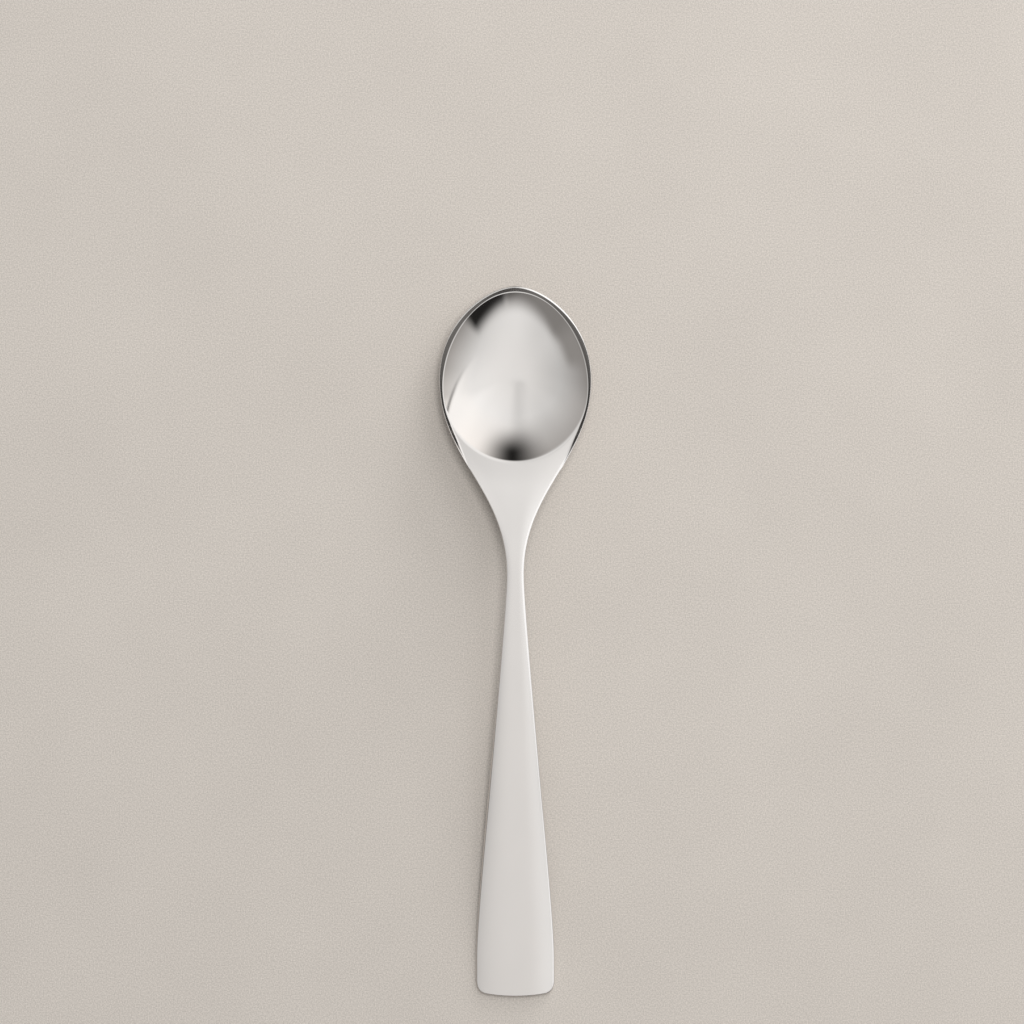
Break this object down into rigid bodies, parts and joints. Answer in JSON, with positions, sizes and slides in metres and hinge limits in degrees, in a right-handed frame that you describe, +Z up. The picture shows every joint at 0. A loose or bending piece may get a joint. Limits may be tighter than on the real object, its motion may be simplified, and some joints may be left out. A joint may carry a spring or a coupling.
{
  "type": "dessert spoon",
  "caption": "One-piece stainless steel dessert spoon: egg-shaped dished bowl, slim arched neck and a flat handle that widens to a square, soft-cornered end.",
  "frame": {"origin": "on the table, under the middle of the spoon's box", "axes": "+Y along the spoon from the handle's end to the bowl's tip, +X across it, +Z up out of the bowl"},
  "size_m": [0.0384, 0.18, 0.0152],
  "materials": {
    "steel": "mirror-polished bowl, satin neck and handle"
  },
  "bodies": {
    "root": {"spoon": "steel"}
  },
  "joints": []
}
